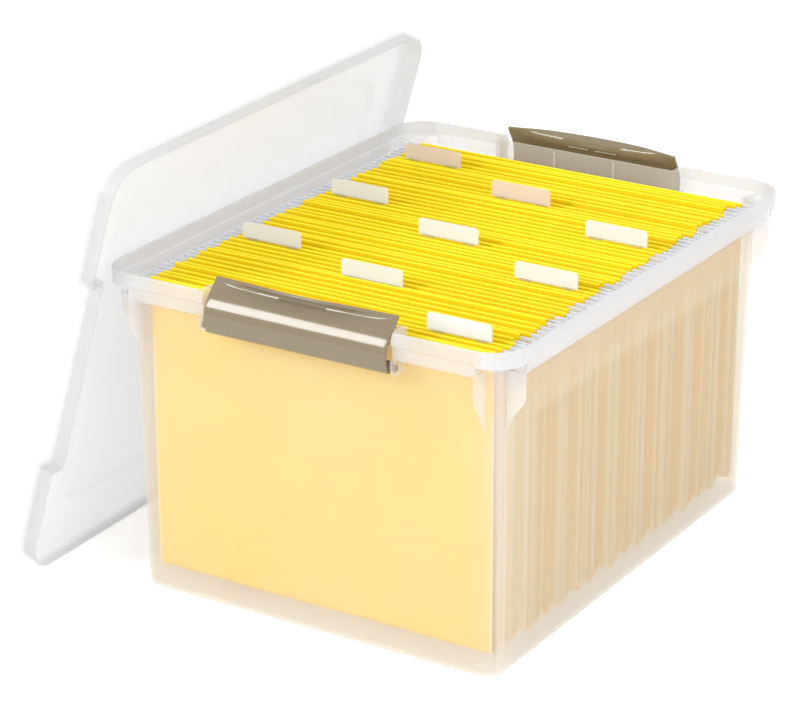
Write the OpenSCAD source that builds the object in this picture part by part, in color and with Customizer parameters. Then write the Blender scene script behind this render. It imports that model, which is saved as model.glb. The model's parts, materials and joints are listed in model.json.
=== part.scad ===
// Portable file box: translucent tub, two snap latches, a lid standing against
// the tub's left rim, and hanging folders with tabs.
// X runs across the latched ends, Y from the front to the back, Z up.
// The origin is the centre of the tub's underside.

/* [Tub] */
// Width over the rim, left to right
rim_w = 356; // [354:1:366]
// Length over the rim, front to back
rim_l = 452; // [446:1:464]
// Height of the rim's top edge
tub_h = 264; // [258:1:280]
// Inset of the tub's foot from its rim, at each long side
foot_in_x = 19; // [16:0.5:19.5]
// Inset of the tub's foot from its rim, at each latched end
foot_in_y = 18.5; // [15:0.5:19]
// Outward lean of each wall from its foot to the shelf
wall_lean = 3.5; // [2:0.5:5]
// Thickness of the walls
tub_wall = 2.2; // [1.6:0.1:2.8]
// Thickness of the floor
floor_t = 2.5; // [2:0.1:4]
// Radius of the walls' upright corners
wall_r = 16; // [12:1:17]
// Bevel round the foot
foot_bevel = 3; // [1:0.5:4]

/* [Rim] */
// Radius of the rim's corners
rim_r = 27; // [24:1:30]
// Thickness of the rim's upright band
band_t = 2.6; // [2:0.1:3.2]
// Height of the upper band
band_h = 10.5; // [9:0.5:12]
// Height of the whole rim, from its top to the shelf's underside
rim_drop = 21.5; // [20:0.5:24]
// Step in from the upper band to the lower band
band_step = 1.6; // [1:0.1:2.4]
// Thickness of the shelf inside the rim
shelf_t = 2.5; // [2:0.1:3]
// Thickness of the gusset fins under the rim
fin_t = 2.5; // [1.8:0.1:3.2]
// How far the gusset fins run down the walls
fin_h = 44; // [30:1:60]

/* [Hook rails] */
// Thickness of each rail
rail_t = 2.5; // [2:0.1:3]
// Rise of each rail above the shelf
rail_rise = 3.5; // [3:0.1:4.5]
// Reach of the shelf inwards past the wall
rail_reach = 5.8; // [5.2:0.1:6.2]

/* [Latches] */
// Width of a latch
latch_w = 158; // [140:1:170]
// Thickness of a latch's curved plate
latch_t = 2.6; // [2.2:0.1:3]
// Height of the latch's tip above its hinge
latch_rise = 36.5; // [34:0.5:40]
// Reach of the tip inwards past the hinge line
latch_in = 15; // [13.5:0.5:16]
// Bulge of the plate outwards past the hinge line
latch_out = 12; // [11:0.5:14]
// How far the middle of the tip is scooped back from its ends
tip_scoop = 8; // [4:0.5:9]
// Radius of a hinge knuckle
knuckle_r = 5.2; // [4.6:0.1:5.4]
// Radius of a hinge pin
pin_r = 2.5; // [2:0.1:3]
// Radial clearance of a pin in its bore
pin_gap = 0.06; // [0.02:0.01:0.1]
// Width of the rim's notch past each end of the latch
notch_gap = 3; // [2:0.5:4]
// How far the rear latch stands open, in degrees
rear_swing = 15; // [0:1:40]

/* [Lid] */
// Clearance between the lid's skirt and the rim it closes over
lid_gap = 0.8; // [0.4:0.1:1.5]
// Depth of the lid's skirt, top face to lower edge
lid_d = 15; // [14:0.5:18]
// Thickness of the lid's walls
lid_wall = 2.2; // [1.8:0.1:2.4]
// Height of the raised panel above the lid's top face
panel_rise = 4; // [2:0.5:6]
// Tilt of the standing lid from upright, in degrees
lid_tilt = 15.8; // [15:0.1:17]
// Turn of the standing lid about the upright, in degrees
lid_yaw = 1.5; // [1.3:0.1:1.7]
// Place of the standing lid's middle along Y
lid_y = -19.7; // [-24:0.1:-16]

/* [Folders] */
// Gap from a folder's side edge to each rail
folder_side = 4.5; // [3.5:0.1:8]
// Room between the folders' folds and the floor
fold_room = 10.2; // [6:0.1:30]
// Width of a folder's fold, from one top edge to the other
fold_gap = 7.95; // [6:0.05:8]
// Thickness of the paper
paper_t = 0.5; // [0.4:0.05:0.6]
// Room between the front folder and the tub's foot
front_room = 9.6; // [9:0.1:12]
// Room between the rear folder and the tub's foot
rear_room = 9.05; // [8.8:0.05:12]
// Sideways stagger of the folders
stagger = 1; // [0:0.1:1]
// Width of a folder's tab
tab_w = 55; // [45:1:60]
// Height of a tab above its folder
tab_h = 14; // [10:0.5:16]
// Inset of the right tabs from the folder's side edge
tab_in_right = 11.5; // [5:0.5:20]
// Inset of the left tabs from the folder's side edge
tab_in_left = 8.5; // [5:0.5:20]

/* [Hidden] */
// Places of the tabbed folders in the row of folders, counted from the front
TAB_AT = [1, 5, 7, 9, 12, 15, 16, 19, 22];
// First folder of each section, and the count of folders as the last entry
FIRST = [0, 4, 7, 9, 12, 15, 16, 19, 22, 25];

SECTIONS = len(TAB_AT);
function numbered(stem) = [for (k = [1:SECTIONS]) str(stem, k)];

$fn = 72;
hull_fn = 32;
slab = 0.02;
cut = 1;
seat_gap = 0.3;

// Colours, as the photograph shows them
tub_colour = [0.93, 0.92, 0.89, 0.6];
latch_colour = [0.60, 0.54, 0.44];
lid_colour = [0.95, 0.95, 0.96, 0.6];
folder_colour = [1.0, 0.85, 0.05];
rod_colour = [0.70, 0.75, 0.82];
tab_colour = [0.93, 0.93, 0.93, 0.7];
label_colour = [0.97, 0.96, 0.94];

// Heights and half sizes of the tub, worked out from its driving sizes
shelf_low = tub_h - rim_drop;
shelf_z = shelf_low + shelf_t;
band_low = tub_h - band_h;
rim_x = rim_w / 2;
rim_y = rim_l / 2;
base_w = rim_w - 2 * foot_in_x;
base_l = rim_l - 2 * foot_in_y;
lower_x = rim_x - band_step;
lower_y = rim_y - band_step;
wall_x = base_w / 2 + wall_lean;
wall_y = base_l / 2 + wall_lean;
inner_x = wall_x - tub_wall;
inner_y = wall_y - tub_wall;
// Half lengths of the straight runs of the rim, between its corners
run_x = rim_x - rim_r;
run_y = rim_y - rim_r;
rail_in = inner_x - rail_reach;
rail_top = shelf_z + rail_rise;
notch_x = latch_w / 2 + notch_gap;
collar_step = 0.6;

module rounded(w, l, r) {
    square([w - 2 * r, l], center = true);
    square([w, l - 2 * r], center = true);
    for (sx = [-1, 1], sy = [-1, 1])
        translate([sx * (w / 2 - r), sy * (l / 2 - r)])
            circle(r = r);
}

module block(x0, x1, y0, y1, z0, z1) {
    translate([x0, y0, z0])
        cube([x1 - x0, y1 - y0, z1 - z0]);
}

// A thin rounded plate, as one level of a leaning wall
module level(half_x, half_y, r, z) {
    for (sx = [-1, 1], sy = [-1, 1])
        translate([sx * (half_x - r), sy * (half_y - r), z])
            cylinder(r = r, h = slab, $fn = hull_fn);
}

module tub_outside() {
    hull() {
        level(base_w / 2 - foot_bevel, base_l / 2 - foot_bevel, wall_r - foot_bevel, 0);
        level(base_w / 2, base_l / 2, wall_r, foot_bevel);
        level(wall_x, wall_y, wall_r, shelf_z - slab);
    }
}

module tub_inside() {
    r = wall_r - tub_wall;
    hull() {
        level(base_w / 2 - tub_wall, base_l / 2 - tub_wall, r, floor_t);
        level(inner_x, inner_y, r, shelf_z + slab);
    }
}

// The two runs of the lower band, which stop short of the rim's corners
module band_runs(inset) {
    square([2 * (lower_x - inset), 2 * (run_y - inset)], center = true);
    square([2 * (run_x - inset), 2 * (lower_y - inset)], center = true);
}

module rim_outside() {
    translate([0, 0, band_low - shelf_t])
        linear_extrude(tub_h - band_low + shelf_t)
            rounded(rim_w, rim_l, rim_r);
    translate([0, 0, shelf_low])
        linear_extrude(band_low - shelf_low) {
            band_runs(0);
            collar(wall_x, wall_y, wall_r);
        }
}

// The walls' outline where they pass the shelf, a little larger than below it
module collar(half_x, half_y, r) {
    rounded(2 * (half_x + collar_step), 2 * (half_y + collar_step), r + collar_step);
}

module rim_inside() {
    translate([0, 0, band_low])
        linear_extrude(band_h + cut)
            rounded(rim_w - 2 * band_t, rim_l - 2 * band_t, rim_r - band_t);
    translate([0, 0, shelf_z])
        linear_extrude(rim_drop) {
            band_runs(band_t);
            collar(inner_x, inner_y, wall_r - tub_wall);
        }
}

// The hinge line of the front latch, with its knuckle clear of the wall behind it
knuckle_back = 6.3;
hinge_y = -(wall_y + knuckle_back + knuckle_r);
hinge_drop = 6.5;
hinge_z = shelf_low - hinge_drop;
lug_wall = 3;
lug_r = pin_r + lug_wall;

// The latch's notch: the rim is cut away and the wall runs up behind the latch
module notch_cut() {
    block(-notch_x, notch_x, -rim_y - cut, -wall_y, shelf_low - cut, tub_h + cut);
}

module notch_wall() {
    rib_w = 1.6;
    rib_out = 1.5;
    rib_x = 28;
    cheek = notch_x + band_t;
    block(-cheek, cheek, -wall_y, -inner_y, shelf_low, tub_h);
    for (s = [-1, 1])
        block(s * rib_x - rib_w / 2, s * rib_x + rib_w / 2, -inner_y - slab, -inner_y + rib_out,
              shelf_low, tub_h - rib_w);
    for (s = [-1, 1])
        difference() {
            hinge_cheek(s, cheek);
            translate([s * (notch_x + band_t / 2), hinge_y, hinge_z])
                rotate([0, 90, 0])
                    cylinder(r = pin_r + pin_gap, h = 3 * band_t, center = true);
        }
}

// An end wall of the notch, which runs down to carry the hinge bore
module hinge_cheek(s, cheek) {
    x0 = min(s * notch_x, s * cheek);
    block(x0, x0 + band_t, -rim_y + band_step, -wall_y + slab, shelf_low, tub_h);
    block(x0, x0 + band_t, hinge_y, -wall_y + slab, hinge_z - lug_r, shelf_low + slab);
    translate([x0, hinge_y, hinge_z])
        rotate([0, 90, 0])
            cylinder(r = lug_r, h = band_t);
    block(x0, x0 + band_t, hinge_y - lug_r, hinge_y, hinge_z, shelf_low + slab);
}

// A gusset fin, from the wall out to the lower band: its free edge leaves the wall
// in a double curve and then runs straight up
fin_upright = 0.4;
function fin_edge(reach, n = 10) =
    [for (k = [0:n]) [reach * (1 - cos(180 * k / n)) / 2, -fin_h + fin_h * (1 - fin_upright) * k / n]];

module fin(reach) {
    rotate([90, 0, 0])
        translate([0, 0, -fin_t / 2])
            linear_extrude(fin_t)
                polygon(concat([[-cut, -fin_h]], fin_edge(reach), [[reach, shelf_t], [-cut, shelf_t]]));
}

module fins() {
    for (sx = [-1, 1], sy = [-1, 1]) {
        translate([sx * wall_x, sy * (run_y - fin_t / 2), shelf_low])
            rotate([0, 0, sx > 0 ? 0 : 180])
                fin(lower_x - wall_x);
        translate([sx * (run_x - fin_t / 2), sy * wall_y, shelf_low])
            rotate([0, 0, sy * 90])
                fin(lower_y - wall_y);
    }
}

module rails() {
    rail_run = base_l / 2 - tub_wall;
    for (s = [0, 180])
        rotate([0, 0, s])
            intersection() {
                union() {
                    block(rail_in, inner_x + cut, -rail_run, rail_run, shelf_low, shelf_z);
                    block(rail_in, rail_in + rail_t, -rail_run, rail_run, shelf_low, rail_top);
                }
                block(0, inner_x + cut, -inner_y, inner_y, 0, tub_h);
            }
}

module tub() {
    color(tub_colour) {
        difference() {
            union() {
                tub_outside();
                rim_outside();
            }
            tub_inside();
            rim_inside();
            notch_cut();
            rotate([0, 0, 180])
                notch_cut();
        }
        notch_wall();
        rotate([0, 0, 180])
            notch_wall();
        fins();
        rails();
    }
}

// The latch's outer curve is one cubic from its foot to its tip
latch_foot = [hinge_y - knuckle_r + 0.1, hinge_z];
latch_tip = [hinge_y + latch_in, hinge_z + latch_rise];
bulge_up = 13;
crown_in = 0.5;
crown_drop = 8.4;
latch_bulge = [hinge_y - latch_out, hinge_z + bulge_up];
latch_crown = [hinge_y + crown_in, hinge_z + latch_rise - crown_drop];
function cubic(t) = pow(1 - t, 3) * latch_foot + 3 * t * pow(1 - t, 2) * latch_bulge
    + 3 * t * t * (1 - t) * latch_crown + pow(t, 3) * latch_tip;
function cubic_slope(t) = 3 * pow(1 - t, 2) * (latch_bulge - latch_foot)
    + 6 * t * (1 - t) * (latch_crown - latch_bulge) + 3 * t * t * (latch_tip - latch_crown);
function inward(t) = let (d = cubic_slope(t)) [d[1], -d[0]] / norm(d);

module latch_profile(n = 18) {
    outer = [for (k = [0:n]) cubic(k / n)];
    inner = [for (k = [n:-1:0]) cubic(k / n) + latch_t * inward(k / n)];
    polygon(concat(outer, inner));
}

module latch_shape() {
    tip_land = 3;
    scoop_half = latch_w / 2 - tip_land;
    scoop_r = (pow(scoop_half, 2) + pow(tip_scoop, 2)) / (2 * tip_scoop);
    // Two catch ridges, side by side on the inner face
    catch_w = 20;
    catch_x = 13;
    catch_r = 1.1;
    catch_share = 0.75;
    catch_at = cubic(catch_share) + latch_t * inward(catch_share);
    difference() {
        rotate([90, 0, 90])
            linear_extrude(latch_w, center = true)
                latch_profile();
        translate([0, latch_tip[0] - tip_scoop + scoop_r, latch_foot[1]])
            cylinder(r = scoop_r, h = 2 * latch_rise, $fn = 180);
    }
    translate([-latch_w / 2, hinge_y, hinge_z])
        rotate([0, 90, 0])
            cylinder(r = knuckle_r, h = latch_w);
    for (s = [-1, 1])
        translate([s * catch_x - catch_w / 2, catch_at[0], catch_at[1]])
            rotate([0, 90, 0])
                cylinder(r = catch_r, h = catch_w);
    pin_out = latch_w / 2 + notch_gap + band_t - seat_gap;
    translate([-pin_out, hinge_y, hinge_z])
        rotate([0, 90, 0])
            cylinder(r = pin_r, h = 2 * pin_out);
}

module latch_front() {
    color(latch_colour)
        latch_shape();
}

module latch_rear() {
    color(latch_colour)
        rotate([0, 0, 180])
            translate([0, hinge_y, hinge_z])
                rotate([rear_swing, 0, 0])
                    translate([0, -hinge_y, -hinge_z])
                        latch_shape();
}

// The lid as it lies closed, with its skirt's lower edge at zero height
lid_w = rim_w + 2 * (lid_gap + lid_wall);
lid_l = rim_l + 2 * (lid_gap + lid_wall);
lid_r = rim_r + lid_gap + lid_wall;

module lid_shape() {
    panel_in_x = 33;
    panel_in_y = 40;
    panel_r = 42;
    pw = lid_w - 2 * panel_in_x;
    pl = lid_l - 2 * panel_in_y;
    plate_low = lid_d - lid_wall;
    // The short sides are drawn in where the latches reach over them
    recess_y = wall_y + lid_gap;
    difference() {
        union() {
            linear_extrude(lid_d)
                rounded(lid_w, lid_l, lid_r);
            translate([0, 0, plate_low])
                linear_extrude(lid_wall + panel_rise)
                    rounded(pw, pl, panel_r);
        }
        translate([0, 0, -cut])
            linear_extrude(plate_low + cut)
                rounded(lid_w - 2 * lid_wall, lid_l - 2 * lid_wall, lid_r - lid_wall);
        translate([0, 0, -cut])
            linear_extrude(plate_low + panel_rise + cut)
                rounded(pw - 2 * lid_wall, pl - 2 * lid_wall, panel_r - lid_wall);
        for (s = [0, 180])
            rotate([0, 0, s])
                block(-notch_x, notch_x, recess_y + lid_wall, lid_l, -cut, lid_d + cut);
    }
    for (s = [0, 180])
        rotate([0, 0, s]) {
            block(-notch_x - lid_wall, notch_x + lid_wall, recess_y, recess_y + lid_wall, 0, lid_d);
            for (x = [-notch_x - lid_wall, notch_x])
                block(x, x + lid_wall, recess_y, lid_l / 2 - slab, 0, lid_d);
        }
}

// Where the standing lid's foot is, so that its far skirt just meets the left rim
lid_reach = lid_l / 2 - lid_wall;
corner_over = max(0, lid_y + lid_reach - run_y);
corner_in = rim_r - sqrt(rim_r * rim_r - corner_over * corner_over);
lid_foot_x = -rim_x + corner_in
    + (lid_reach * sin(lid_yaw) - tub_h * tan(lid_tilt) - seat_gap / cos(lid_tilt)) / cos(lid_yaw);

module lid() {
    color(lid_colour)
        translate([lid_foot_x, lid_y, 0])
            rotate([0, 0, lid_yaw])
                rotate([0, lid_tilt - 90, 0])
                    translate([lid_w / 2, 0, 0])
                        lid_shape();
}

// Folders hang from two flat rods each, hooked over the rails
rod_t = 1;
rod_h = 8;
rod_hang = 4.8;
rod_low = rail_top + seat_gap - rod_hang;
rod_top = rod_low + rod_h;
rod_side = 0.2;
sleeve_t = rod_t + 2 * (rod_side + paper_t);
folder_w = 2 * (rail_in - folder_side);
folder_top = rod_top + rod_side + paper_t;
folder_low = floor_t + fold_room;
notch_side = 1.5;
hook_tip = 4;
hook_lift = 1;
hook_x = rail_in + rail_t + notch_side + hook_tip;

// The row of folders fills the tub's length, less the room left at each end
row_half = base_l / 2 - tub_wall;
folder_y0 = -row_half + front_room + sleeve_t / 2;
folder_pitch = (2 * row_half - front_room - rear_room - fold_gap - sleeve_t) / (FIRST[SECTIONS] - 1);
function folder_y(k) = folder_y0 + folder_pitch * k;
function folder_x(k) = stagger * sin(137 * k);

// The paper's outline in Y and Z: two faces, a round fold and a sleeve at each top edge
module folder_profile() {
    y0 = -sleeve_t / 2;
    w = fold_gap + sleeve_t;
    mid = fold_gap / 2;
    fold_r = w / 2;
    difference() {
        union() {
            translate([y0, folder_low + fold_r])
                square([w, folder_top - folder_low - fold_r]);
            translate([mid, folder_low + fold_r])
                circle(r = fold_r);
        }
        translate([y0 + paper_t, folder_low + fold_r])
            square([w - 2 * paper_t, folder_top - folder_low]);
        translate([mid, folder_low + fold_r])
            circle(r = fold_r - paper_t);
    }
    for (y = [0, fold_gap])
        translate([y - sleeve_t / 2, rod_low - rod_side - paper_t])
            difference() {
                square([sleeve_t, rod_h + 2 * (rod_side + paper_t)]);
                translate([paper_t, paper_t])
                    square([rod_t + 2 * rod_side, rod_h + 2 * rod_side]);
            }
}

module folder(k) {
    translate([folder_x(k), folder_y(k), 0])
        rotate([90, 0, 90])
            linear_extrude(folder_w, center = true)
                folder_profile();
}

// A rod's outline in X and Z, with a notch over each rail and its hook clear of the shelf
module rod_profile() {
    notch_in = rail_in - notch_side;
    notch_out = rail_in + rail_t + notch_side;
    notch_top = rail_top + seat_gap;
    difference() {
        translate([-hook_x, rod_low])
            square([2 * hook_x, rod_h]);
        for (s = [-1, 1])
            translate([s > 0 ? notch_in : -notch_out, rod_low - cut])
                square([notch_out - notch_in, notch_top - rod_low + cut]);
        for (s = [-1, 1])
            translate([s > 0 ? notch_in : -hook_x - cut, rod_low - cut])
                square([hook_x - notch_in + cut, shelf_z + hook_lift - rod_low + cut]);
    }
}

module rod_pair(k) {
    for (y = [0, fold_gap])
        translate([folder_x(k), folder_y(k) + y + rod_t / 2, 0])
            rotate([90, 0, 0])
                linear_extrude(rod_t)
                    rod_profile();
}

module folders(s) {
    color(folder_colour)
        for (k = [FIRST[s]:FIRST[s + 1] - 1])
            folder(k);
}

module rods(s) {
    color(rod_colour)
        for (k = [FIRST[s]:FIRST[s + 1] - 1])
            rod_pair(k);
}

// A tab is a clear sleeve over a paper label, with two tongues down the folder's front
tab_leaf = 0.5;
tab_slot = 1;
tab_low = folder_top + seat_gap;
tab_front = -sleeve_t / 2 - seat_gap - 2 * tab_leaf - tab_slot;
tongue_w = 10;
tongue_h = 7;

// Middles of the tabs' right, middle and left columns
tab_mid = -2;
TAB_X = [(folder_w - tab_w) / 2 - tab_in_right, tab_mid, (tab_w - folder_w) / 2 + tab_in_left];
function tab_x(s) = TAB_X[s % 3] + folder_x(TAB_AT[s]);

module tab(s) {
    depth = 2 * tab_leaf + tab_slot;
    color(tab_colour)
        translate([tab_x(s), folder_y(TAB_AT[s]) + tab_front, tab_low]) {
            difference() {
                block(-tab_w / 2, tab_w / 2, 0, depth, 0, tab_h);
                block(-tab_w, tab_w, tab_leaf, tab_leaf + tab_slot, tab_leaf, tab_h - tab_leaf);
            }
            for (x = [-tab_w / 3, tab_w / 3])
                block(x - tongue_w / 2, x + tongue_w / 2, depth - tab_leaf, depth, -tongue_h, slab);
        }
}

module label(s) {
    label_t = 0.4;
    side = (tab_slot - label_t) / 2;
    end = 1.5;
    color(label_colour)
        translate([tab_x(s), folder_y(TAB_AT[s]) + tab_front + tab_leaf + side, tab_low + tab_leaf + seat_gap])
            block(-tab_w / 2 + end, tab_w / 2 - end, 0, label_t, 0, tab_h - 2 * tab_leaf - 2 * seat_gap);
}

tub();
latch_front();
latch_rear();
lid();
for (s = [0:SECTIONS - 1]) {
    folders(s);
    rods(s);
    tab(s);
    label(s);
}
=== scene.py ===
"""The looks of a portable file box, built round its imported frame.

Sizes here are in millimetres, as in the part's source, and become metres when a mesh is made.
X runs across the latched ends, Y from front to back and Z up.
"""

import json
import math

import bmesh
import bpy
from mathutils import Matrix, Vector, noise


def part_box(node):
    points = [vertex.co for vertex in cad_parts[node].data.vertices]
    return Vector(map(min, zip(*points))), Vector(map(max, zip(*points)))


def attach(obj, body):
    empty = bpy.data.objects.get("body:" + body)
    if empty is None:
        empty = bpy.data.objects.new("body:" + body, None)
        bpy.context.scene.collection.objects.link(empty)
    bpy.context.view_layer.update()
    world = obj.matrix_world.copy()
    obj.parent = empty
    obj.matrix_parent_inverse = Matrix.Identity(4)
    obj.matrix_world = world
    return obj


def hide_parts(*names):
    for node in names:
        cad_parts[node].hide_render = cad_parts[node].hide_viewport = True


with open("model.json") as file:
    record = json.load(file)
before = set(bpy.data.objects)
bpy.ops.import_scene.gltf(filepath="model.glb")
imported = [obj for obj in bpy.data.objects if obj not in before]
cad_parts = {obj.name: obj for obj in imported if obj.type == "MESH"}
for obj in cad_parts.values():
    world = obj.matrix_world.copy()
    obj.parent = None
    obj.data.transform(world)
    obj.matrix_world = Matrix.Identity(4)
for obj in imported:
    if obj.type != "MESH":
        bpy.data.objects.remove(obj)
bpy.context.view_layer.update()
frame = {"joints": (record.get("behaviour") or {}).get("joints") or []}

MM = 0.001

# Tub, with the same driving sizes as the part's source
RIM_X, TUB_H = (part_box("tub")[1][i] / MM for i in (0, 2))
RIM_Y = 226
RIM_R = 27
BAND_T = 2.6
BAND_LOW = TUB_H - 10.5
SHELF_LOW = TUB_H - 21.5
SHELF_Z = SHELF_LOW + 2.5
BAND_STEP = 1.6
BASE_X = 159
BASE_Y = 207.5
WALL_LEAN = 3.5
WALL_R = 16
TUB_WALL = 2.2
FLOOR_T = 2.5
FOOT_BEVEL = 3
WALL_X = BASE_X + WALL_LEAN
WALL_Y = BASE_Y + WALL_LEAN
FIN_T = 2.5
FIN_H = 44
RAIL_IN = WALL_X - TUB_WALL - 5.8
RAIL_T = 2.5
RAIL_TOP = SHELF_Z + 3.5
NOTCH_X = 82
CHEEK_X = NOTCH_X + BAND_T

# Latches
HINGES = {j["name"]: j for j in frame["joints"] if j["type"] == "hinge"}
HINGE_Y, HINGE_Z = (c / MM for c in HINGES["latch_front_hinge"]["pos_m"][1:])
LATCH_W = 158
LATCH_T = 2.6
KNUCKLE_R = 5.2
PIN_R = 2.5
LUG_R = PIN_R + 3
LATCH_RISE = 36.5
LATCH_IN = 15
LATCH_OUT = 12
BULGE_UP = 13
CROWN_IN = 0.5
CROWN_DROP = 8.4
TIP_LAND = 3
BEND_FROM = 0.79
BEND_END = (-3.5, -1.0)
BEND_MIDDLE = (-14.0, -0.2)
REAR_SWING = math.radians(-HINGES["latch_rear_hinge"]["range_deg"][0])

# Lid
LID_WALL = 2.2
LID_GAP = 0.8
LID_X = RIM_X + LID_GAP + LID_WALL
LID_Y = RIM_Y + LID_GAP + LID_WALL
LID_R = RIM_R + LID_GAP + LID_WALL
LID_D = 15
PANEL_RISE = 4
PANEL_X = LID_X - 33
PANEL_Y = LID_Y - 40
PANEL_R = 42
RECESS_Y = WALL_Y + LID_GAP + LID_WALL
LID_TILT = math.radians(15.8)
LID_YAW = math.radians(1.5)
LID_PLACE_Y = -19.7
SEAT_GAP = 0.3

# Folders
FOLDER_HALF = 150
FOLDER_TOP = 252.7
FOLDER_LOW = 12.7
FOLDER_Y0 = -194.5
FOLDER_PITCH = 15.9
FOLD_GAP = 7.95
PAPER_T = 0.5
SLEEVE_T = 2.4
SLEEVE_LOW = 243.3
ROD_T = 1
ROD_LOW = 244
ROD_TOP = 252
HOOK_LOW = SHELF_Z + 1
HOOK_X = 162.5
TAB_W = 55
TAB_H = 14
TAB_AT = (1, 5, 7, 9, 12, 15, 16, 19, 22)
FIRST = (0, 4, 7, 9, 12, 15, 16, 19, 22, 25)
TAB_X = (111, -2, -114)
WARM_LABELS = (7, 8)

# How uneven the folders hang: shifts of edges, hooks and rows, the rise of loose top edges, and the
# depths under the rods over which the lean fades and the sway grows
STAGGER_ANGLE = 137
EDGE_SHIFT = 2.2
HOOK_SHIFT = 0.8
ROW_SHIFT = 2.2
ROW_SKEW = 0.6
LOOSE_RISE = 1.0
LOOSE_RISE_VARIES = 0.8
LOOSE_TILT = 0.5
STRAIGHT_BELOW = 90
FREE_BELOW = 120
SWAY = 0.8
RIPPLE = 0.12

# Camera, at the photograph's viewing angle
CAMERA_PLACE = (1.16546, -1.95936, 1.05098)
CAMERA_AZIMUTH = math.radians(31.83)
CAMERA_ELEVATION = math.radians(21.41)
CAMERA_LENS = 139.0
CAMERA_CLIP = 50

# Finish of the meshes
BEVEL_STEPS = 3
BEVEL_ANGLE = math.radians(40)
SHARP_ANGLE = 50
LATCH_SHARP_ANGLE = 45
WELD = 0.004

# Colours, each as its darker and its lighter tone
TUB_TONES = ((0.81, 0.80, 0.80), (0.85, 0.84, 0.84))
LID_TONES = ((0.65, 0.655, 0.68), (0.70, 0.705, 0.73))
LATCH_TONES = ((0.226, 0.182, 0.112), (0.242, 0.195, 0.120))
SHEET_TONES = ((1.0, 0.64, 0.002), (1.0, 0.69, 0.004))
# Painted highlight along the folders' top folds
FOLD_HIGHLIGHT_TONES = ((1.0, 0.77, 0.0), (1.0, 0.91, 0.0))
ROD_TONES = ((0.70, 0.76, 0.86), (0.84, 0.87, 0.92))
TAB_TONES = ((0.95, 0.95, 0.94), (0.97, 0.97, 0.96))
# Tinted blue, which cancels the yellow light that the folders bounce onto the white labels
WHITE_LABEL_TONES = ((0.90, 0.94, 1.0), (0.94, 0.97, 1.0))
WARM_LABEL_TONES = ((0.84, 0.70, 0.62), (0.88, 0.75, 0.66))
FLOOR_TONES = ((0.93, 0.93, 0.93), (0.95, 0.95, 0.95))

# Single tones that take over at some places
# Painted warm light from the yellow folders behind, at the tub's foot and on its long side walls
FOOT_GLOW_TINT = (0.93, 0.87, 0.78)
SIDE_GLOW_TINT = (0.96, 0.90, 0.76)
# Painted shade that greys the rim's outer skin
RIM_SHADE_TINT = (0.73, 0.74, 0.76)
# Painted highlight on the sheets' cut ends, seen through the side walls
CUT_END_HIGHLIGHT = (1.0, 0.87, 0.55)
# Painted orange shade in the gaps between the folders, below their top folds
GAP_SHADE_ORANGE = (1.0, 0.58, 0.0)
# Darker orange, laid in broad patches over the painted fold highlight
FOLD_PATCH_ORANGE = (1.0, 0.70, 0.0)
TINT_MOST = 0.8
FOLD_PATCH_MOST = 0.5

# Places where a look changes, in metres: where the change starts, and where it is complete
RIM_Z = (0.240, 0.246)
FOOT_TINTED_Z = (0.030, 0.008)
FOOT_DENSE_Z = (0.006, 0.0)
TINTED_SIDE_X = (0.1560, 0.1580)
TINTED_SIDE_Y = (0.204, 0.190)
TINTED_UNDER_Z = (0.236, 0.226)
TINTED_OVER_Z = (0.004, 0.030)
SIDE_WALL_X = (0.1555, 0.1575)
CORNER_X = (0.146, 0.160)
CORNER_Y = (0.194, 0.208)
WALL_PANEL_Z = (0.190, 0.203)
WALL_PANEL_Y = (-0.152, -0.166)
LID_EDGE_Y = (0.205, 0.226)
CUT_END_HIGHLIGHT_X = (0.1478, 0.1500)
CUT_END_HIGHLIGHT_Z = (0.207, 0.196)
GAP_SHADE_Z = (0.225, 0.240)
# Where the painted fold highlight starts and is complete, and how far streaks move it
FOLD_HIGHLIGHT_Z = (0.2474, 0.2504)
FOLD_HIGHLIGHT_Z_SWAY = (-0.0009, 0.0009)

# Alpha of the tub's surfaces: of a clear wall, what is added to it at some places, and the most
CLEAR_ALPHA = 0.19
SIDE_WALL_ADDS = 0.09
BAND_ADDS = 0.07
CORNER_ADDS = 0.10
FOOT_ADDS = 0.15
RIM_ADDS = 0.36
MOST_ALPHA = 0.7

# The rim's outer skin starts between these depths, in millimetres. Inside it, less alpha is added
SKIN_DEPTH = (2.2, 0.8)
INNER_RIM_SHARE = 0.25

# Alpha of the other clear pieces, and how far clouds in the plastic change it
LID_ALPHA = (0.30, 0.42)
CLOUD_ALPHA = (-0.015, 0.015)
TAB_ALPHA = (0.08, 0.11)

# Noise: its scale per metre, its detail and its stretch, and the values that it mostly lies between
NOISE_SPAN = (0.25, 0.75)
PLASTIC_CLOUD = (9, 4)
PLASTIC_FROST = (900, 2)
LATCH_CLOUD = (40, 4)
LATCH_GRAIN = (1500, 2)
PAPER_FIBRE = (700, 5, (0.25, 1, 1))
PAPER_CLOUD = (30, 3)
PAPER_STREAK = (150, 3, (0.03, 1, 0.2))
PAPER_PATCHES = (28, 2, (0.12, 1, 0.2))
ROD_SPECK = (260, 4)
TAB_GRAIN = (500, 2)
LABEL_FIBRE = (900, 4)
FLOOR_CLOUD = (3, 2)

# Gloss and relief, the relief's height in metres
TUB_ROUGHNESS = (0.31, 0.41)
LID_ROUGHNESS = (0.29, 0.39)
LATCH_ROUGHNESS = (0.09, 0.14)
PAPER_ROUGHNESS = (0.5, 0.68)
ROD_ROUGHNESS = (0.3, 0.45)
TAB_ROUGHNESS = (0.12, 0.2)
LABEL_ROUGHNESS = (0.55, 0.7)
FLOOR_ROUGHNESS = 0.9
PLASTIC_RELIEF = 0.000006
LATCH_RELIEF = 0.000003
PAPER_RELIEF = 0.00001
LABEL_RELIEF = 0.000008
PLASTIC_IOR = 1.49
LATCH_IOR = 1.5
TUB_GLOW = 0.15
LID_GLOW = 0.10

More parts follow.
